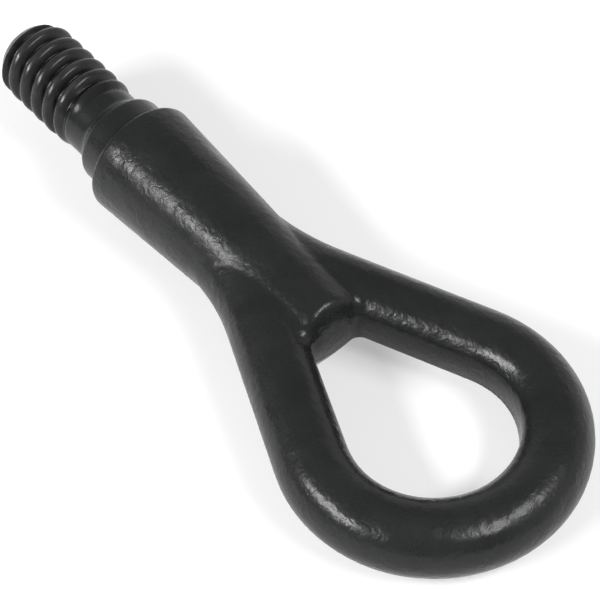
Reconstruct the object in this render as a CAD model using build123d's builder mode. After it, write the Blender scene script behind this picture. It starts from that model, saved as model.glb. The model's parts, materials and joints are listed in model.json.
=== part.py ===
import os
from math import atan2, cos, degrees, radians, sin, tan

from build123d import *

# Screw-in tow eye, forged in one piece, in millimetres.
# The shank runs along X with its thread toward -X, the eye lies in the XY plane and Z is up.
# The origin is on the axis, in the plane of the shoulder that seats in the socket.

# Thread: single start, right hand, running out onto the neck
thread_diameter = 20.0
thread_root_diameter = 16.0
thread_pitch = 4.5
thread_length = 20.9
thread_lead = 3.54
thread_crest_share = 0.30
thread_root_share = 0.20
runout_length = 7.1
tip_diameter = 15.0
tip_chamfer_length = 3.3

# Neck, locating collar and tapered shank
neck_diameter = 18.0
neck_length = 8.7
neck_flare_share = 0.65
collar_diameter = 22.5
collar_length = 7.7
collar_edge_share = 0.27
shank_diameter = 28.4
shank_edge = 0.7
shank_length = 31.3
fork_diameter = 24.3

# Spine that carries the shank on between the two arms, and its rounded nose
spine_diameter = 18.5
nose_slope = 64.0
nose_crown_radius = 20.0
nose_edge_radius = 2.2
nose_overhang = 2.5

# Loop of round bar
bar_diameter = 16.0
arm_inset = 0.15
fork_bend_radius = 53.4
fork_angle = 23.64
crease_radius = 3.5
eye_bend_radius = 24.4
crown_radius = 26.9
crown_angle = 45.0

# Eye punched through the loop, leaving a flat wall inside the bar and on the nose
eye_distance = 68.9
eye_corner_radius = 1.5
bar_flat = 0.73
wall_height = 8.2

thread_r = thread_diameter / 2
root_r = thread_root_diameter / 2
tip_r = tip_diameter / 2
neck_r = neck_diameter / 2
collar_r = collar_diameter / 2
shank_r = shank_diameter / 2
fork_r = fork_diameter / 2
spine_r = spine_diameter / 2
bar_r = bar_diameter / 2

collar_x = -collar_length
neck_x = collar_x - neck_length
runout_x = neck_x - runout_length
tip_x = runout_x - thread_length

# Stud: turned blank with neck and collar; a groove wound turn by turn leaves the thread and its run-out
thread_depth = thread_r - root_r
mean_r = (thread_r + root_r) / 2
groove_x = tip_x - thread_lead - thread_pitch / 2
groove_turns = int((runout_x - groove_x) / thread_pitch)
tail_x = groove_x + groove_turns * thread_pitch
tail_length = neck_x - tail_x
tail_rise = neck_r - root_r + thread_depth / 10
tail_angle = atan2(tail_rise, tail_length)
root_u = thread_pitch * thread_root_share / 2
mouth_u = thread_pitch * (1 - thread_crest_share) / 2
clear = thread_depth / 2
clear_u = mouth_u + clear * (mouth_u - root_u) / thread_depth
collar_step = collar_r - neck_r
stud_end = shank_length / 4
with BuildPart() as stud:
    with BuildSketch(Plane.XY.rotated((50, 0, 0))) as stud_profile:
        with BuildLine():
            Polyline(
                (tip_x, 0),
                (tip_x, tip_r),
                (tip_x + tip_chamfer_length, thread_r),
                (runout_x, thread_r),
                (neck_x, neck_r),
                (collar_x, neck_r),
                (collar_x, collar_r),
                (stud_end, collar_r),
                (stud_end, 0),
                close=True,
            )
        make_face()
        neck_corner = stud_profile.vertices().sort_by_distance((collar_x, neck_r, 0))[0]
        chamfer(neck_corner, neck_flare_share * collar_step)
        collar_corner = stud_profile.vertices().sort_by_distance((collar_x, collar_r, 0))[0]
        chamfer(collar_corner, collar_edge_share * collar_step)
    revolve(axis=Axis.X)
    with BuildLine() as groove_path:
        for step in range(groove_turns):
            turn_x = groove_x + step * thread_pitch
            Helix(thread_pitch, thread_pitch, mean_r, center=(turn_x, 0, 0), direction=(1, 0, 0))
        Helix(
            thread_pitch / cos(tail_angle),
            tail_length,
            mean_r,
            center=(tail_x, 0, 0),
            direction=(1, 0, 0),
            cone_angle=degrees(tail_angle),
        )
    helix = groove_path.wire()
    with BuildSketch(Plane(origin=helix @ 0, x_dir=(0, 0, 1), z_dir=helix % 0)) as groove:
        with BuildLine():
            Polyline(
                (root_r - mean_r, -root_u),
                (root_r - mean_r, root_u),
                (thread_r + clear - mean_r, clear_u),
                (thread_r + clear - mean_r, -clear_u),
                close=True,
            )
        make_face()
    sweep(sections=groove.sketch, path=helix, is_frenet=True, mode=Mode.SUBTRACT)

# Shank: tapered, going on as a spine between the arms; its blunt nose slopes to the punched wall
nose_x = eye_distance + nose_overhang
wall_z = wall_height / 2
slope = tan(radians(nose_slope))
lip_z = shank_r
lip_x = eye_distance - (lip_z - wall_z) / slope
nose_end = nose_x + nose_overhang
nose_z = wall_z - (nose_end - eye_distance) * slope
crown_z = wall_z - nose_crown_radius
with BuildPart() as shank:
    with BuildSketch(-Plane.XZ) as shank_profile:
        with BuildLine():
            Polyline(
                (0, 0),
                (0, shank_r),
                (shank_length, fork_r),
                (nose_x, spine_r),
                (nose_x, 0),
                close=True,
            )
        make_face()
        shank_corner = shank_profile.vertices().sort_by_distance((0, shank_r, 0))[0]
        chamfer(shank_corner, shank_edge)
    revolve(axis=Axis.X)
    for side in (1, -1):
        with BuildSketch(Plane.XZ) as nose_profile:
            with BuildLine():
                Polyline(
                    (nose_end, side * nose_z),
                    (lip_x, side * lip_z),
                    (nose_end, side * lip_z),
                    close=True,
                )
            make_face()
        revolve(axis=Axis((0, 0, side * crown_z), (1, 0, 0)), mode=Mode.SUBTRACT)
    nose_edges = shank.edges().filter_by_position(Axis.X, lip_x, nose_end)
    fillet(nose_edges.filter_by(GeomType.BSPLINE), nose_edge_radius)

# Loop: round bar that leaves the shank on both sides and closes around the eye
bend_r = fork_bend_radius + bar_r
turn = radians(fork_angle)
crown_turn = radians(crown_angle)
arm_y = fork_r - bar_r - arm_inset
root_x = shank_length - bar_r
arm_start = (shank_length, arm_y)
arm_bend = (shank_length + bend_r * sin(turn), arm_y + bend_r * (1 - cos(turn)))
crown_shift = crown_radius - eye_bend_radius
bend_y = crown_shift * sin(crown_turn)
bend_x = arm_bend[0] + (eye_bend_radius + cos(turn) * (bend_y - arm_bend[1])) / sin(turn)
crown_x = bend_x - crown_shift * cos(crown_turn)


def loop_points(inset):
    """Ends of the arm, the bend and the crown, moved inward from the bar's centre line by inset."""
    bend = eye_bend_radius - inset
    crown = crown_radius - inset
    arm_end = (bend_x - bend * sin(turn), bend_y + bend * cos(turn))
    bend_end = (crown_x + crown * cos(crown_turn), crown * sin(crown_turn))
    crown_end = (crown_x + crown, 0)
    return arm_end, bend_end, crown_end


def mirrored(point):
    """The same point across the loop's centre line."""
    return (point[0], -point[1])


arm_end, bend_end, crown_end = loop_points(0)
with BuildPart() as loop:
    with BuildLine(Plane.XY) as loop_path:
        Line((root_x, arm_y), arm_start)
        RadiusArc(arm_start, arm_bend, -bend_r)
        Line(arm_bend, arm_end)
        RadiusArc(arm_end, bend_end, eye_bend_radius)
        RadiusArc(bend_end, crown_end, crown_radius)
        RadiusArc(crown_end, mirrored(bend_end), crown_radius)
        RadiusArc(mirrored(bend_end), mirrored(arm_end), eye_bend_radius)
        Line(mirrored(arm_end), mirrored(arm_bend))
        RadiusArc(mirrored(arm_bend), mirrored(arm_start), -bend_r)
        Line(mirrored(arm_start), (root_x, -arm_y))
    with BuildSketch(Plane(origin=(root_x, arm_y, 0), z_dir=(1, 0, 0))) as bar_section:
        Circle(bar_r)
    sweep(sections=bar_section.sketch, path=loop_path.wire())

# The bar grows out of the shank with a soft crease around each arm, then the eye is punched
eye_inset = bar_r - bar_flat
side_end, side_bend, side_crown = loop_points(eye_inset)
wall_y = side_end[1] - (side_end[0] - eye_distance) * tan(turn)
with BuildPart() as tow_eye:
    add(shank.part)
    add(loop.part)
    fillet(tow_eye.edges(Select.NEW), crease_radius)
    with BuildSketch(Plane.XY) as eye:
        with BuildLine():
            Line((eye_distance, -wall_y), (eye_distance, wall_y))
            Line((eye_distance, wall_y), side_end)
            RadiusArc(side_end, side_bend, eye_bend_radius - eye_inset)
            RadiusArc(side_bend, side_crown, crown_radius - eye_inset)
            RadiusArc(side_crown, mirrored(side_bend), crown_radius - eye_inset)
            RadiusArc(mirrored(side_bend), mirrored(side_end), eye_bend_radius - eye_inset)
            Line(mirrored(side_end), (eye_distance, -wall_y))
        make_face()
        fillet(eye.vertices().group_by(Axis.X)[0], eye_corner_radius)
    extrude(amount=bar_diameter, both=True, mode=Mode.SUBTRACT)
    add(stud.part)

os.makedirs("parts", exist_ok=True)
tow_eye.part.label = "tow_eye"
export_step(tow_eye.part, "parts/tow_eye.step")
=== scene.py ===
"""Black-painted forged tow eye: its thread, collar, forging and coat, and the studio that it lies in."""

import json
import math

import bmesh
import bpy
from bpy.props import FloatProperty, FloatVectorProperty, IntProperty, PointerProperty
from bpy.types import Operator, Panel, PropertyGroup
from mathutils import Matrix, Vector


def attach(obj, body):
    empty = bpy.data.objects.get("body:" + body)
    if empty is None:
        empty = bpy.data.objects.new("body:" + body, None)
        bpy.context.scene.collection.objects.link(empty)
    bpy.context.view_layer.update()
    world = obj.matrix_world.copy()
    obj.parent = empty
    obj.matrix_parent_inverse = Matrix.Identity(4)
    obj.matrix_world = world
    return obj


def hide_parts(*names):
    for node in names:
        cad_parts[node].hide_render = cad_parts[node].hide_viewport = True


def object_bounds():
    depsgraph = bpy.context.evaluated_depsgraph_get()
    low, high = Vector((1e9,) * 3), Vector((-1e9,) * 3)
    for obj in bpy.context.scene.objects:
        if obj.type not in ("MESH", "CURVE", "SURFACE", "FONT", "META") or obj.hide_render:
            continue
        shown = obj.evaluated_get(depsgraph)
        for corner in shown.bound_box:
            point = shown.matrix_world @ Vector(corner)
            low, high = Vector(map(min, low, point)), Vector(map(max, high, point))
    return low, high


bl_info = {
    "name": "Tow Eye",
    "version": (1, 0, 0),
    "blender": (4, 5, 0),
    "location": "3D View > Sidebar > Tow Eye",
    "description": "Finishes a forged screw-in tow eye and sets it in a pale studio",
    "category": "Object",
}

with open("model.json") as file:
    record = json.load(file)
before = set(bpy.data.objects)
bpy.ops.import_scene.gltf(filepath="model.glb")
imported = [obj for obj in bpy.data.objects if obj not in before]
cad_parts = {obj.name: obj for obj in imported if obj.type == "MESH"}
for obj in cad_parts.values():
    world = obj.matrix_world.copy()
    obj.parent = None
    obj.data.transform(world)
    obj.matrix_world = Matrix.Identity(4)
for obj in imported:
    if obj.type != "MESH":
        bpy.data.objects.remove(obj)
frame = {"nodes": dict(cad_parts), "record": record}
cad_box = [list(corner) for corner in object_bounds()]
tow_eye = frame["nodes"]["tow_eye"]
mount_sizes = {mount["name"]: mount["dims"] for mount in frame["record"]["mounts"]}

MILLIMETRE = 0.001
MERGE_DISTANCE = 0.000001
WHITE = (1.0, 1.0, 1.0, 1.0)

# Shading stays smooth up to these angles, and each rounded corner has this many steps
TURNED_CREASE = math.radians(60.0)
FORGED_CREASE = math.radians(22.0)
CORNER_STEPS = 5

# Places along X between which the forging's skin starts, and the thread's wear and painted root shade
# end
SKIN_START = (-0.0003, 0.0003)
WEAR_AND_SHADE_END = (-0.0150, -0.0140)

# Heights of the marks in the coat, next to one wrinkle of the forging's skin
SWELL_HEIGHT = 2.4
GRAIN_HEIGHT = 0.08
STUD_SKIN_HEIGHT = 0.25
RING_HEIGHT = 0.05

# Scales of the marks, next to one wrinkle, and the stretch of the turning marks around the axis
GRAIN_SCALE = 4.0
PATCH_SCALE = 0.16
BREAK_SCALE = 0.5
RING_STRETCH = (1.0, 0.035, 0.035)

# Shares of patch and grain in the mottle, and the range that it is spread from
PATCH_SHARE = 0.7
GRAIN_SHARE = 0.3
MOTTLE_RANGE = (0.3, 0.7)

# Wear of the thread's crest and painted shade in its root, both as shares of its radius, and the breaks
# in the rubbed crest
CREST_FOOT = 0.955
ROOT_SHADE_FLOOR = 0.82
ROOT_SHADE_BRIM = 0.94
BREAK_RANGE = (0.38, 0.66)
LEAST_RUB = 0.25
ACROSS_AXIS = (0.0, 1.0, 1.0)

# The Mix node's two inputs and its output, by what it mixes
MIX_SOCKETS = {"FLOAT": (2, 3, 0), "RGBA": (6, 7, 2)}

# White wall of the surround: where its sides and its top fade out, and what is left in front
WALL_SIDES = (-0.1, 0.7)
WALL_TOP = (0.28, 0.66)
FRONT_SHARE = 0.12

# Finish of the floor, the point that the softboxes face, and the camera's sensor and near limit
FLOOR_ROUGHNESS = 0.9
FLOOR_GLOSS = 0.1
LAMP_AIM = (0.06, 0.0, 0.0)
SENSOR_WIDTH = 36.0
CLIP_START = 0.01


class StudSettings(PropertyGroup):
    """Sizes of the turned end: thread, neck, collar and the shank's front edge."""

    thread_radius: FloatProperty(
        name="Thread Radius",
        description="Radius over the thread's crests",
        default=mount_sizes["screw_in"]["r_mm"] * MILLIMETRE,
        min=0.001,
        unit="LENGTH",
    )
    root_radius: FloatProperty(
        name="Root Radius",
        description="Radius at the thread's root",
        default=0.0080,
        min=0.001,
        unit="LENGTH",
    )
    pitch: FloatProperty(
        name="Pitch",
        description="Distance from one turn of the thread to the next",
        default=0.0045,
        min=0.0005,
        unit="LENGTH",
    )
    crest_share: FloatProperty(
        name="Crest Share",
        description="Part of the pitch that the crest takes before it is rounded",
        default=0.34,
        min=0.0,
        max=0.5,
        subtype="FACTOR",
    )
    root_share: FloatProperty(
        name="Root Share",
        description="Part of the pitch that the root takes before it is rounded",
        default=0.12,
        min=0.0,
        max=0.5,
        subtype="FACTOR",
    )
    crest_round: FloatProperty(
        name="Crest Round",
        description="How far back from its corners the crest is rounded",
        default=0.00074,
        min=0.0,
        unit="LENGTH",
    )
    root_round: FloatProperty(
        name="Root Round",
        description="How far back from its corners the root is rounded",
        default=0.00024,
        min=0.0,
        unit="LENGTH",
    )
    groove_place: FloatProperty(
        name="Groove Start",
        description="Where the thread's groove would start above the axis",
        default=-0.05019,
        unit="LENGTH",
    )
    turn_steps: IntProperty(
        name="Turn Steps",
        description="Faces around one turn of the thread, of which the collar has twice as many",
        default=72,
        min=12,
    )
    tip_radius: FloatProperty(
        name="Tip Radius",
        description="Radius of the stud's end face",
        default=0.0075,
        min=0.001,
        unit="LENGTH",
    )
    tip_length: FloatProperty(
        name="Tip Length",
        description="Length of the cone at the stud's end",
        default=0.0033,
        min=0.0001,
        unit="LENGTH",
    )
    tip_round: FloatProperty(
        name="Tip Round",
        description="Rounding of the end face's edge",
        default=0.0006,
        min=0.0,
        unit="LENGTH",
    )
    fade_start: FloatProperty(
        name="Run-out Start",
        description="Where the thread starts to fade into the neck",
        default=-0.0206,
        unit="LENGTH",
    )
    fade_end: FloatProperty(
        name="Run-out End",
        description="Where the thread has faded into the neck",
        default=-0.0136,
        unit="LENGTH",
    )
    fade_lean: FloatProperty(
        name="Run-out Lean",
        description="How much later the run-out comes on the +Y side than above the axis",
        default=0.0018,
        unit="LENGTH",
    )
    neck_radius: FloatProperty(
        name="Neck Radius",
        description="Radius of the plain neck",
        default=0.0090,
        min=0.001,
        unit="LENGTH",
    )
    neck_place: FloatProperty(
        name="Neck Joint",
        description="Where the threaded piece meets the turned collar piece",
        default=-0.0114,
        unit="LENGTH",
    )
    flare_length: FloatProperty(
        name="Flare Length",
        description="Length of the flare from the neck to the collar",
        default=0.0018,
        min=0.0,
        unit="LENGTH",
    )
    collar_radius: FloatProperty(
        name="Collar Radius",
        description="Radius of the locating collar",
        default=mount_sizes["collar"]["r_mm"] * MILLIMETRE,
        min=0.001,
        unit="LENGTH",
    )
    collar_length: FloatProperty(
        name="Collar Length",
        description="Length of the locating collar",
        default=0.0077,
        min=0.001,
        unit="LENGTH",
    )
    collar_edge: FloatProperty(
        name="Collar Edge",
        description="Width of the cut edge at the front of the collar",
        default=0.0003,
        min=0.0,
        unit="LENGTH",
    )
    shank_radius: FloatProperty(
        name="Shank Radius",
        description="Radius of the shank at the shoulder",
        default=0.0142,
        min=0.001,
        unit="LENGTH",
    )
    shank_place: FloatProperty(
        name="Shank Joint",
        description="Where the turned collar piece meets the forging",
        default=0.0040,
        unit="LENGTH",
    )
    shank_fall: FloatProperty(
        name="Shank Taper",
        description="How much the shank's radius falls for each unit of length",
        default=0.0655,
    )
    flare_round: FloatProperty(
        name="Flare Round",
        description="How far back from its corner the flare is rounded into the neck",
        default=0.0012,
        min=0.0,
        unit="LENGTH",
    )
    edge_round: FloatProperty(
        name="Edge Round",
        description="How far back from its corner the collar's front edge is rounded",
        default=0.0008,
        min=0.0,
        unit="LENGTH",
    )
    seat_round: FloatProperty(
        name="Seat Round",
        description="How far back from its corner the collar is rounded into the shoulder",
        default=0.0004,
        min=0.0,
        unit="LENGTH",
    )
    shank_round: FloatProperty(
        name="Shank Round",
        description="How far back from its corner the shank's front edge is rounded",
        default=0.0012,
        min=0.0,
        unit="LENGTH",
    )


class CoatSettings(PropertyGroup):
    """Colours of the black coat and the sizes of the marks in it."""

    coat_color: FloatVectorProperty(
        name="Coat",
        description="Colour of the black satin coat",
        default=(0.0117, 0.0121, 0.0121, 1.0),
        size=4,
        min=0.0,
        max=1.0,
        subtype="COLOR",
    )
    faded_color: FloatVectorProperty(
        name="Faded Coat",
        description="Colour of the coat where it lies thin on the forging's skin",
        default=(0.0162, 0.0167, 0.0167, 1.0),
        size=4,
        min=0.0,
        max=1.0,
        subtype="COLOR",
    )
    rubbed_color: FloatVectorProperty(
        name="Rubbed Coat",
        description="Colour of the coat where the thread's crests are rubbed",
        default=(0.032, 0.032, 0.033, 1.0),
        size=4,
        min=0.0,
        max=1.0,
        subtype="COLOR",
    )
    # Painted shade: a near-black colour laid into the thread's root, standing in for the shade in its
    # groove
    root_shade_color: FloatVectorProperty(
        name="Root Shade",
        description="Colour of the shade painted into the thread's root",
        default=(0.0035, 0.0036, 0.0037, 1.0),
        size=4,
        min=0.0,
        max=1.0,
        subtype="COLOR",
    )
    wrinkle_size: FloatProperty(
        name="Wrinkle Size",
        description="Width of one wrinkle of the forging's skin",
        default=0.0023,
        min=0.0001,
        unit="LENGTH",
    )
    swell_size: FloatProperty(
        name="Swell Size",
        description="Width of one swell left by the forging dies",
        default=0.011,
        min=0.001,
        unit="LENGTH",
    )
    skin_depth: FloatProperty(
        name="Skin Depth",
        description="Height of the wrinkles on the forging's skin",
        default=0.00017,
        min=0.0,
        unit="LENGTH",
    )
    turning_size: FloatProperty(
        name="Turning Mark Size",
        description="Width of one mark around the thread, neck and collar",
        default=0.00035,
        min=0.00005,
        unit="LENGTH",
    )
    smooth_roughness: FloatProperty(
        name="Smooth Roughness",
        description="Roughness of the coat where it flowed out smooth",
        default=0.23,
        min=0.0,
        max=1.0,
        subtype="FACTOR",
    )
    dull_roughness: FloatProperty(
        name="Dull Roughness",
        description="Roughness of the coat where it dried dull",
        default=0.32,
        min=0.0,
        max=1.0,
        subtype="FACTOR",
    )
    crest_roughness: FloatProperty(
        name="Crest Roughness",
        description="Roughness of the coat where the thread's crests are rubbed",
        default=0.17,
        min=0.0,
        max=1.0,
        subtype="FACTOR",
    )
    gloss: FloatProperty(
        name="Gloss",
        description="Strength of the coat's reflections",
        default=0.25,
        min=0.0,
        max=1.0,
        subtype="FACTOR",
    )


class StageSettings(PropertyGroup):
    """Floor, surround, lamps and camera."""

    floor_color: FloatVectorProperty(
        name="Floor",
        description="Colour of the floor",
        default=(0.62, 0.62, 0.62, 1.0),
        size=4,
        min=0.0,
        max=1.0,
        subtype="COLOR",
    )
    floor_glow: FloatProperty(
        name="Floor Glow",
        description="White that the floor adds for the camera and for reflections",
        default=0.38,
        min=0.0,
        max=1.0,
    )
    floor_size: FloatProperty(
        name="Floor Size",
        description="Half the floor's width",
        default=4.0,
        min=0.5,
        unit="LENGTH",
    )
    floor_tilt: FloatProperty(
        name="Floor Tilt",
        description="Tilt of the floor that the shoulder and the loop both touch",
        default=math.radians(3.0),
        subtype="ANGLE",
    )
    wall_direction: FloatVectorProperty(
        name="Wall Direction",
        description="Where the white wall stands, seen from the part",
        default=(-0.10, 0.995, 0.0),
        size=3,
        subtype="DIRECTION",
    )
    wall_strength: FloatProperty(
        name="Wall Strength",
        description="Brightness of the white wall",
        default=0.80,
        min=0.0,
    )
    ceiling_strength: FloatProperty(
        name="Ceiling Strength",
        description="Brightness of the studio overhead and in front",
        default=0.20,
        min=0.0,
    )
    lamp_distance: FloatProperty(
        name="Lamp Distance",
        description="How far the softboxes stand from the part",
        default=0.9,
        min=0.1,
        unit="LENGTH",
    )
    key_direction: FloatVectorProperty(
        name="Key Direction",
        description="Where the key softbox stands, seen from the part",
        default=(-0.19, -0.805, 0.56),
        size=3,
        subtype="DIRECTION",
    )
    key_width: FloatProperty(
        name="Key Width",
        description="Width of the key softbox",
        default=0.60,
        min=0.01,
        unit="LENGTH",
    )
    key_height: FloatProperty(
        name="Key Height",
        description="Height of the key softbox",
        default=0.17,
        min=0.01,
        unit="LENGTH",
    )
    key_power: FloatProperty(
        name="Key Power",
        description="Power of the key softbox in watts",
        default=10.0,
        min=0.0,
    )
    fill_direction: FloatVectorProperty(
        name="Fill Direction",
        description="Where the fill softbox stands, seen from the part",
        default=(0.56, 0.26, 0.79),
        size=3,
        subtype="DIRECTION",
    )
    fill_width: FloatProperty(
        name="Fill Width",
        description="Width of the fill softbox",
        default=0.55,
        min=0.01,
        unit="LENGTH",
    )
    fill_height: FloatProperty(
        name="Fill Height",
        description="Height of the fill softbox",
        default=0.20,
        min=0.01,
        unit="LENGTH",
    )
    fill_power: FloatProperty(
        name="Fill Power",
        description="Power of the fill softbox in watts",
        default=6.0,
        min=0.0,
    )
    camera_place: FloatVectorProperty(
        name="Camera Place",
        description="Where the camera stands",
        default=(0.2581, -0.1788, 0.3332),
        size=3,
        subtype="TRANSLATION",
        unit="LENGTH",
    )
    camera_forward: FloatVectorProperty(
        name="Camera Forward",
        description="Direction that the camera looks in",
        default=(-0.4713, 0.4197, -0.7757),
        size=3,
        subtype="DIRECTION",
    )
    camera_up: FloatVectorProperty(
        name="Camera Up",
        description="Direction that is up in the camera's image",
        default=(-0.6046, 0.4865, 0.6306),
        size=3,
        subtype="DIRECTION",
    )
    camera_lens: FloatProperty(
        name="Lens",
        description="Focal length on a 36 mm wide sensor, in millimetres",
        default=118.55,
        min=1.0,
    )


def add_node(tree, kind, **inputs):
    """A new node, with the sockets named in inputs set to plain values."""
    node = tree.nodes.new(kind)
    for socket, value in inputs.items():
        node.inputs[socket].default_value = value
    return node


def feed(tree, socket, value):
    """Link a socket to another one, or set it to a plain value."""
    if isinstance(value, bpy.types.NodeSocket):
        tree.links.new(value, socket)
    else:
        socket.default_value = value


def math_node(tree, operation, first, second):
    """A Math node on two sockets or numbers, and its output."""
    node = tree.nodes.new("ShaderNodeMath")
    node.operation = operation
    feed(tree, node.inputs[0], first)
    feed(tree, node.inputs[1], second)
    return node.outputs["Value"]


def vector_node(tree, operation, vector, other=(0.0, 0.0, 0.0)):
    """A Vector Math node on a socket and, where it takes a second one, a plain vector."""
    node = tree.nodes.new("ShaderNodeVectorMath")
    node.operation = operation
    node.inputs[1].default_value = other
    tree.links.new(vector, node.inputs[0])
    return node


def noise(tree, position, scale, detail, roughness, distortion):
    """Noise in space, at the scale of a socket."""
    node = add_node(
        tree,
        "ShaderNodeTexNoise",
        Detail=detail,
        Roughness=roughness,
        Distortion=distortion,
    )
    tree.links.new(position, node.inputs["Vector"])
    tree.links.new(scale, node.inputs["Scale"])
    return node.outputs["Fac"]


def map_range(tree, value, low, high, to_low, to_high):
    """A value brought smoothly from one range to another."""
    node = tree.nodes.new("ShaderNodeMapRange")
    node.interpolation_type = "SMOOTHSTEP"
    tree.links.new(value, node.inputs["Value"])
    feed(tree, node.inputs["From Min"], low)
    feed(tree, node.inputs["From Max"], high)
    feed(tree, node.inputs["To Min"], to_low)
    feed(tree, node.inputs["To Max"], to_high)
    return node.outputs["Result"]


def mix(tree, kind, factor, first, second):
    """Two values or two colours, each a socket or plain, mixed by a mask."""
    node = tree.nodes.new("ShaderNodeMix")
    node.data_type = kind
    tree.links.new(factor, node.inputs["Factor"])
    first_socket, second_socket, result = MIX_SOCKETS[kind]
    feed(tree, node.inputs[first_socket], first)
    feed(tree, node.inputs[second_socket], second)
    return node.outputs[result]


def new_group(name, inputs, outputs):
    """An empty shader node group with its sockets, and its two end nodes."""
    group = bpy.data.node_groups.new(name, "ShaderNodeTree")
    for socket, kind in inputs:
        group.interface.new_socket(name=socket, in_out="INPUT", socket_type=kind)
    for socket, kind in outputs:
        group.interface.new_socket(name=socket, in_out="OUTPUT", socket_type=kind)
    return group, group.nodes.new("NodeGroupInput"), group.nodes.new("NodeGroupOutput")


def make_forged_skin(name):
    """Wrinkles, die swells and paint grain of a forged and painted surface."""
    group, start, end = new_group(
        name,
        (
            ("Position", "NodeSocketVector"),
            ("Wrinkle Scale", "NodeSocketFloat"),
            ("Swell Scale", "NodeSocketFloat"),
        ),
        (("Height", "NodeSocketFloat"), ("Mottle", "NodeSocketFloat")),
    )
    position = start.outputs["Position"]
    wrinkle_scale = start.outputs["Wrinkle Scale"]
    swell_scale = start.outputs["Swell Scale"]
    grain_scale = math_node(group, "MULTIPLY", wrinkle_scale, GRAIN_SCALE)
    patch_scale = math_node(group, "MULTIPLY", wrinkle_scale, PATCH_SCALE)
    wrinkle = noise(group, position, wrinkle_scale, detail=2.0, roughness=0.5, distortion=0.6)
    swell = noise(group, position, swell_scale, detail=2.0, roughness=0.45, distortion=0.3)
    grain = noise(group, position, grain_scale, detail=2.0, roughness=0.6, distortion=0.0)
    patch = noise(group, position, patch_scale, detail=4.0, roughness=0.6, distortion=0.4)
    swell_height = math_node(group, "MULTIPLY", swell, SWELL_HEIGHT)
    grain_height = math_node(group, "MULTIPLY", grain, GRAIN_HEIGHT)
    height = math_node(group, "ADD", wrinkle, swell_height)
    height = math_node(group, "ADD", height, grain_height)
    group.links.new(height, end.inputs["Height"])
    patch_part = math_node(group, "MULTIPLY", patch, PATCH_SHARE)
    grain_part = math_node(group, "MULTIPLY", grain, GRAIN_SHARE)
    mottle = math_node(group, "ADD", patch_part, grain_part)
    group.links.new(map_range(group, mottle, *MOTTLE_RANGE, 0.0, 1.0), end.inputs["Mottle"])
    return group


def make_turned_marks(name):
    """Fine rings around X on the thread, neck and collar."""
    group, start, end = new_group(
        name,
        (("Position", "NodeSocketVector"), ("Mark Scale", "NodeSocketFloat")),
        (("Height", "NodeSocketFloat"),),
    )
    stretch = vector_node(group, "MULTIPLY", start.outputs["Position"], RING_STRETCH)
    rings = noise(
        group,
        stretch.outputs["Vector"],
        start.outputs["Mark Scale"],
        detail=3.0,
        roughness=0.6,
        distortion=0.0,
    )
    group.links.new(rings, end.inputs["Height"])
    return group


def make_crest_wear_and_root_shade(name):
    """Masks of the thread's crests, rubbed in patches, and of its root, where shade is painted in."""
    group, start, end = new_group(
        name,
        (
            ("Position", "NodeSocketVector"),
            ("Radius", "NodeSocketFloat"),
            ("Break Scale", "NodeSocketFloat"),
        ),
        (("Mask", "NodeSocketFloat"), ("Root", "NodeSocketFloat")),
    )
    position = start.outputs["Position"]
    radius = start.outputs["Radius"]
    across = vector_node(group, "MULTIPLY", position, ACROSS_AXIS)
    reach = vector_node(group, "LENGTH", across.outputs["Vector"]).outputs["Value"]
    foot = math_node(group, "MULTIPLY", radius, CREST_FOOT)
    crest = map_range(group, reach, foot, radius, 0.0, 1.0)
    patch = noise(
        group,
        position,
        start.outputs["Break Scale"],
        detail=4.0,
        roughness=0.65,
        distortion=0.2,
    )
    broken = map_range(group, patch, *BREAK_RANGE, LEAST_RUB, 1.0)
    group.links.new(math_node(group, "MULTIPLY", crest, broken), end.inputs["Mask"])
    # The root mask is painted shade: it darkens the thread's groove, where shade falls
    root_shade_floor = math_node(group, "MULTIPLY", radius, ROOT_SHADE_FLOOR)
    root_shade_brim = math_node(group, "MULTIPLY", radius, ROOT_SHADE_BRIM)
    root = map_range(group, reach, root_shade_floor, root_shade_brim, 1.0, 0.0)
    group.links.new(root, end.inputs["Root"])
    return group


def place_group(tree, name, build, position, **values):
    """A group placed in a material with its values, and built first if no material holds it yet."""
    node = tree.nodes.new("ShaderNodeGroup")
    node.node_tree = bpy.data.node_groups.get(name) or build(name)
    tree.links.new(position, node.inputs["Position"])
    for socket, value in values.items():
        node.inputs[socket.replace("_", " ")].default_value = value
    return node


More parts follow.
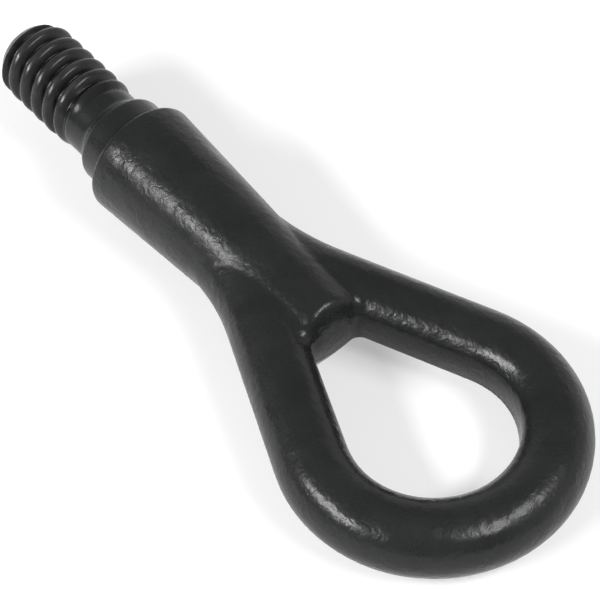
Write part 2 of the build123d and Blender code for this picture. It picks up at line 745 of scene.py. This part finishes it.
def make_black_coat(settings, crest_radius):
    """Black satin paint: wrinkled on the forging, ringed on the stud, rubbed on the crests, with painted
    shade in the thread's root.
    """
    material = bpy.data.materials.new("black_coat")
    material.use_nodes = True
    tree = material.node_tree
    shader = tree.nodes["Principled BSDF"]
    place = tree.nodes.new("ShaderNodeTexCoord").outputs["Object"]
    skin = place_group(
        tree,
        "forged_skin",
        make_forged_skin,
        place,
        Wrinkle_Scale=1.0 / settings.wrinkle_size,
        Swell_Scale=1.0 / settings.swell_size,
    )
    rings = place_group(
        tree,
        "turned_marks",
        make_turned_marks,
        place,
        Mark_Scale=1.0 / settings.turning_size,
    )
    rubbed = place_group(
        tree,
        "crest_wear_root_shade",
        make_crest_wear_and_root_shade,
        place,
        Radius=crest_radius,
        Break_Scale=BREAK_SCALE / settings.wrinkle_size,
    )
    apart = tree.nodes.new("ShaderNodeSeparateXYZ")
    tree.links.new(place, apart.inputs["Vector"])
    forged = map_range(tree, apart.outputs["X"], *SKIN_START, 0.0, 1.0)
    threaded = map_range(tree, apart.outputs["X"], *WEAR_AND_SHADE_END, 1.0, 0.0)
    mottle = skin.outputs["Mottle"]
    ring_height = math_node(tree, "MULTIPLY", rings.outputs["Height"], RING_HEIGHT)
    faint_height = math_node(tree, "MULTIPLY", skin.outputs["Height"], STUD_SKIN_HEIGHT)
    stud_height = math_node(tree, "ADD", ring_height, faint_height)
    height = mix(tree, "FLOAT", forged, stud_height, skin.outputs["Height"])
    rub = math_node(tree, "MULTIPLY", rubbed.outputs["Mask"], threaded)
    # Painted shade: the root mask darkens the thread's groove to near black, where shade falls; the
    # rubbed mask is the crests' wear
    root_shade = math_node(tree, "MULTIPLY", rubbed.outputs["Root"], threaded)
    color = mix(tree, "RGBA", mottle, settings.coat_color, settings.faded_color)
    color = mix(tree, "RGBA", root_shade, color, settings.root_shade_color)
    color = mix(tree, "RGBA", rub, color, settings.rubbed_color)
    dullness = map_range(tree, mottle, 0.0, 1.0, settings.smooth_roughness, settings.dull_roughness)
    roughness = mix(tree, "FLOAT", rub, dullness, settings.crest_roughness)
    shader.inputs["Specular IOR Level"].default_value = settings.gloss
    bump = add_node(tree, "ShaderNodeBump", Strength=1.0, Distance=settings.skin_depth)
    tree.links.new(height, bump.inputs["Height"])
    tree.links.new(color, shader.inputs["Base Color"])
    tree.links.new(roughness, shader.inputs["Roughness"])
    tree.links.new(bump.outputs["Normal"], shader.inputs["Normal"])
    return material


def line_of_edges(shape, points):
    """Edges from point to point above the X axis, each inner corner rounded as its point says."""
    verts = [shape.verts.new((along, 0.0, reach)) for along, reach, _ in points]
    for first, second in zip(verts, verts[1:]):
        shape.edges.new((first, second))
    for vert, (_, _, corner_round) in zip(verts[1:-1], points[1:-1]):
        bmesh.ops.bevel(
            shape,
            geom=[vert],
            offset=corner_round,
            offset_type="OFFSET",
            segments=CORNER_STEPS,
            profile=0.5,
            affect="VERTICES",
            material=-1,
        )


def fade_and_taper(shape, stud, tip_place):
    """Let the thread fade into the neck, and bring its first turns in to a cone with a rounded rim."""
    tip_rise = (stud.thread_radius - stud.tip_radius) / stud.tip_length
    for vert in shape.verts:
        reach = math.hypot(vert.co.y, vert.co.z)
        along = vert.co.x - stud.fade_lean * vert.co.y / reach
        fade = (along - stud.fade_start) / (stud.fade_end - stud.fade_start)
        fade = min(max(fade, 0.0), 1.0)
        fade = fade * fade * (3.0 - 2.0 * fade)
        wanted = reach + (stud.neck_radius - reach) * fade
        depth = max(vert.co.x - tip_place, 0.0)
        cone = stud.tip_radius + depth * tip_rise
        dip = max(stud.tip_round - depth, 0.0)
        cone -= stud.tip_round - math.sqrt(stud.tip_round**2 - dip**2)
        wanted = min(wanted, cone)
        vert.co.y *= wanted / reach
        vert.co.z *= wanted / reach


def cut_across(shape, place, side):
    """Cut the shape square to X, and take away what lies beyond the cut."""
    bmesh.ops.bisect_plane(
        shape,
        geom=shape.verts[:] + shape.edges[:] + shape.faces[:],
        dist=MERGE_DISTANCE,
        plane_co=(place, 0.0, 0.0),
        plane_no=(side, 0.0, 0.0),
        clear_outer=True,
    )


def close_ends(shape):
    """Merge what touches, close the open ends and turn all faces outwards."""
    bmesh.ops.remove_doubles(shape, verts=shape.verts, dist=MERGE_DISTANCE)
    open_edges = [edge for edge in shape.edges if edge.is_boundary]
    bmesh.ops.holes_fill(shape, edges=open_edges, sides=0)
    bmesh.ops.recalc_face_normals(shape, faces=shape.faces)


def finish_piece(shape, name, crease, scene):
    """A coated piece of the tow eye from a bmesh, smooth up to the crease angle."""
    mesh = bpy.data.meshes.new(name)
    shape.to_mesh(mesh)
    shape.free()
    mesh.shade_smooth()
    mesh.set_sharp_from_angle(angle=crease)
    mesh.materials.append(make_black_coat(scene.toweye_coat, scene.toweye_stud.thread_radius))
    piece = bpy.data.objects.new(name, mesh)
    scene.collection.objects.link(piece)
    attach(piece, "root")
    return piece


class TOWEYE_OT_thread(Operator):
    """Wind the rounded thread, taper its tip and let it run out on the neck"""

    bl_idname = "toweye.thread"
    bl_label = "Make Thread"

    def execute(self, context):
        stud = context.scene.toweye_stud
        root_half = stud.pitch * stud.root_share / 2
        mouth_half = stud.pitch * (1 - stud.crest_share) / 2
        start = stud.groove_place
        end = start + stud.pitch
        one_turn = (
            (start, stud.root_radius, 0.0),
            (start + root_half, stud.root_radius, stud.root_round),
            (start + mouth_half, stud.thread_radius, stud.crest_round),
            (end - mouth_half, stud.thread_radius, stud.crest_round),
            (end - root_half, stud.root_radius, stud.root_round),
            (end, stud.root_radius, 0.0),
        )
        shape = bmesh.new()
        line_of_edges(shape, one_turn)
        turns = math.ceil((stud.neck_place - stud.groove_place) / stud.pitch)
        bmesh.ops.spin(
            shape,
            geom=shape.verts[:] + shape.edges[:],
            cent=(0.0, 0.0, 0.0),
            axis=(1.0, 0.0, 0.0),
            dvec=(stud.pitch / stud.turn_steps, 0.0, 0.0),
            angle=2 * math.pi * turns,
            steps=stud.turn_steps * turns,
        )
        bmesh.ops.remove_doubles(shape, verts=shape.verts, dist=MERGE_DISTANCE)
        tip_place = cad_box[0][0]
        fade_and_taper(shape, stud, tip_place)
        cut_across(shape, tip_place, -1.0)
        cut_across(shape, stud.neck_place, 1.0)
        close_ends(shape)
        finish_piece(shape, "thread", TURNED_CREASE, context.scene)
        return {"FINISHED"}


class TOWEYE_OT_collar(Operator):
    """Turn the neck, its flare, the locating collar and the shank's front edge"""

    bl_idname = "toweye.collar"
    bl_label = "Make Collar"

    def execute(self, context):
        stud = context.scene.toweye_stud
        collar_place = -stud.collar_length
        shank_end = stud.shank_radius - stud.shank_place * stud.shank_fall
        outline = (
            (stud.neck_place, stud.neck_radius, 0.0),
            (collar_place - stud.flare_length, stud.neck_radius, stud.flare_round),
            (collar_place + stud.collar_edge, stud.collar_radius, stud.edge_round),
            (0.0, stud.collar_radius, stud.seat_round),
            (0.0, stud.shank_radius, stud.shank_round),
            (stud.shank_place, shank_end, 0.0),
        )
        shape = bmesh.new()
        line_of_edges(shape, outline)
        bmesh.ops.spin(
            shape,
            geom=shape.verts[:] + shape.edges[:],
            cent=(0.0, 0.0, 0.0),
            axis=(1.0, 0.0, 0.0),
            angle=2 * math.pi,
            steps=2 * stud.turn_steps,
            use_merge=True,
        )
        close_ends(shape)
        finish_piece(shape, "collar", TURNED_CREASE, context.scene)
        return {"FINISHED"}


class TOWEYE_OT_forging(Operator):
    """Take the forging behind the shoulder from the CAD part and coat it"""

    bl_idname = "toweye.forging"
    bl_label = "Make Forging"

    def execute(self, context):
        shape = bmesh.new()
        shape.from_mesh(tow_eye.data)
        bmesh.ops.remove_doubles(shape, verts=shape.verts, dist=MERGE_DISTANCE)
        cut_across(shape, context.scene.toweye_stud.shank_place, -1.0)
        close_ends(shape)
        forging = finish_piece(shape, "forging", FORGED_CREASE, context.scene)
        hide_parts("tow_eye")
        return {"FINISHED"}


def make_floor(settings):
    """Pale floor that touches the shoulder's rim and the underside of the loop."""
    points = [vertex.co for vertex in tow_eye.data.vertices]
    turn = Matrix.Rotation(-settings.floor_tilt, 4, "Y")
    level = turn.inverted()
    rest = min((level @ point).z for point in points)
    mesh = bpy.data.meshes.new("floor")
    shape = bmesh.new()
    bmesh.ops.create_grid(shape, x_segments=1, y_segments=1, size=settings.floor_size)
    bmesh.ops.translate(shape, verts=shape.verts, vec=(0.0, 0.0, rest))
    bmesh.ops.transform(shape, verts=shape.verts, matrix=turn)
    shape.to_mesh(mesh)
    shape.free()
    floor = bpy.data.objects.new("floor", mesh)
    bpy.context.scene.collection.objects.link(floor)
    material = bpy.data.materials.new("pale_floor")
    material.use_nodes = True
    tree = material.node_tree
    shader = tree.nodes["Principled BSDF"]
    shader.inputs["Base Color"].default_value = settings.floor_color
    shader.inputs["Roughness"].default_value = FLOOR_ROUGHNESS
    shader.inputs["Specular IOR Level"].default_value = FLOOR_GLOSS
    ray = tree.nodes.new("ShaderNodeLightPath")
    seen = math_node(tree, "MAXIMUM", ray.outputs["Is Camera Ray"], ray.outputs["Is Glossy Ray"])
    seen = math_node(tree, "MAXIMUM", seen, ray.outputs["Is Transmission Ray"])
    glow = math_node(tree, "MULTIPLY", seen, settings.floor_glow)
    shader.inputs["Emission Color"].default_value = WHITE
    tree.links.new(glow, shader.inputs["Emission Strength"])
    mesh.materials.append(material)
    return floor


def make_surround(settings):
    """A white wall behind the part, in a studio that is darker overhead and in front."""
    world = bpy.data.worlds.new("studio_surround")
    world.use_nodes = True
    tree = world.node_tree
    backdrop = tree.nodes["Background"]
    apart = tree.nodes.new("ShaderNodeSeparateXYZ")
    outward = tree.nodes.new("ShaderNodeTexCoord").outputs["Generated"]
    tree.links.new(outward, apart.inputs["Vector"])
    behind = vector_node(tree, "DOT_PRODUCT", outward, settings.wall_direction)
    facing = map_range(tree, behind.outputs["Value"], *WALL_SIDES, FRONT_SHARE, 1.0)
    low = map_range(tree, apart.outputs["Z"], *WALL_TOP, 1.0, 0.0)
    wall = math_node(tree, "MULTIPLY", facing, low)
    level = map_range(tree, wall, 0.0, 1.0, settings.ceiling_strength, settings.wall_strength)
    tree.links.new(level, backdrop.inputs["Strength"])
    backdrop.inputs["Color"].default_value = WHITE
    bpy.context.scene.world = world


def hang_softbox(name, direction, distance, width, height, power):
    """A softbox that stands in a direction from the part and faces it."""
    lamp = bpy.data.lights.new(name, "AREA")
    lamp.shape = "RECTANGLE"
    lamp.size = width
    lamp.size_y = height
    lamp.energy = power
    softbox = bpy.data.objects.new(name, lamp)
    toward = Vector(direction).normalized()
    place = Matrix.Translation(Vector(LAMP_AIM) + toward * distance)
    turn = toward.to_track_quat("Z", "Y").to_matrix().to_4x4()
    softbox.matrix_world = place @ turn
    bpy.context.scene.collection.objects.link(softbox)


def place_camera(settings):
    """Camera at the photograph's viewing angle."""
    lens = bpy.data.cameras.new("camera")
    lens.lens = settings.camera_lens
    lens.sensor_width = SENSOR_WIDTH
    lens.clip_start = CLIP_START
    camera = bpy.data.objects.new("camera", lens)
    back = -Vector(settings.camera_forward).normalized()
    right = Vector(settings.camera_up).cross(back).normalized()
    up = back.cross(right)
    turn = Matrix((right, up, back)).transposed().to_4x4()
    camera.matrix_world = Matrix.Translation(Vector(settings.camera_place)) @ turn
    bpy.context.scene.collection.objects.link(camera)
    bpy.context.scene.camera = camera


class TOWEYE_OT_stage(Operator):
    """Lay the pale floor, light it softly and place the camera"""

    bl_idname = "toweye.stage"
    bl_label = "Set Stage"

    def execute(self, context):
        settings = context.scene.toweye_stage
        make_floor(settings)
        make_surround(settings)
        hang_softbox(
            "key_softbox",
            settings.key_direction,
            settings.lamp_distance,
            settings.key_width,
            settings.key_height,
            settings.key_power,
        )
        hang_softbox(
            "fill_softbox",
            settings.fill_direction,
            settings.lamp_distance,
            settings.fill_width,
            settings.fill_height,
            settings.fill_power,
        )
        place_camera(settings)
        context.scene.view_settings.view_transform = "Standard"
        return {"FINISHED"}


class TOWEYE_PT_sidebar(Panel):
    """Sizes, coat and stage of the tow eye"""

    bl_idname = "TOWEYE_PT_sidebar"
    bl_label = "Tow Eye"
    bl_space_type = "VIEW_3D"
    bl_region_type = "UI"
    bl_category = "Tow Eye"

    def draw(self, context):
        for settings, operators in (
            (context.scene.toweye_stud, (TOWEYE_OT_thread, TOWEYE_OT_collar)),
            (context.scene.toweye_coat, (TOWEYE_OT_forging,)),
            (context.scene.toweye_stage, (TOWEYE_OT_stage,)),
        ):
            box = self.layout.box()
            for name in settings.__annotations__:
                box.prop(settings, name)
            for operator in operators:
                box.operator(operator.bl_idname)


CLASSES = (
    StudSettings,
    CoatSettings,
    StageSettings,
    TOWEYE_OT_thread,
    TOWEYE_OT_collar,
    TOWEYE_OT_forging,
    TOWEYE_OT_stage,
    TOWEYE_PT_sidebar,
)


def register():
    """Register the classes and hang their settings on the scene."""
    for cls in CLASSES:
        bpy.utils.register_class(cls)
    bpy.types.Scene.toweye_stud = PointerProperty(type=StudSettings)
    bpy.types.Scene.toweye_coat = PointerProperty(type=CoatSettings)
    bpy.types.Scene.toweye_stage = PointerProperty(type=StageSettings)


def unregister():
    """Take the settings and the classes away again."""
    del bpy.types.Scene.toweye_stage
    del bpy.types.Scene.toweye_coat
    del bpy.types.Scene.toweye_stud
    for cls in reversed(CLASSES):
        bpy.utils.unregister_class(cls)


def main():
    """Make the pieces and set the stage."""
    register()
    bpy.ops.toweye.thread()
    bpy.ops.toweye.collar()
    bpy.ops.toweye.forging()
    bpy.ops.toweye.stage()


if __name__ == "__main__":
    main()
